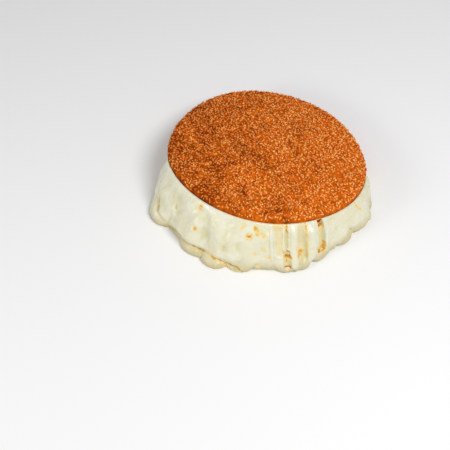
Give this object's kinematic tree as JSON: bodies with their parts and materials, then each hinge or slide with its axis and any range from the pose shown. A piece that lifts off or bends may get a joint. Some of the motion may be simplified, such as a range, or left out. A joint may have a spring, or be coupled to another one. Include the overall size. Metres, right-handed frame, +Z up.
{
  "type": "cheese-filled kaak bread",
  "caption": "Flat round sesame loaf split in two, its upper half propped open by melted cheese that runs out at the front in folds and strings.",
  "frame": {"origin": "centre of the flat underside of the lower half of the loaf", "axes": "+Z up; the open side, where the cheese runs out, faces -Y; +X to the right seen from the open side"},
  "size_m": [0.2119, 0.2126, 0.0547],
  "materials": {
    "sesame_crust": "baked crust covered in toasted sesame",
    "melted_cheese": "smooth melted cheese, softly glossy",
    "lower_crust": "plain baked crust"
  },
  "bodies": {
    "root": {"bread_top": "sesame_crust", "cheese": "melted_cheese", "bread_bottom": "lower_crust"}
  },
  "joints": []
}
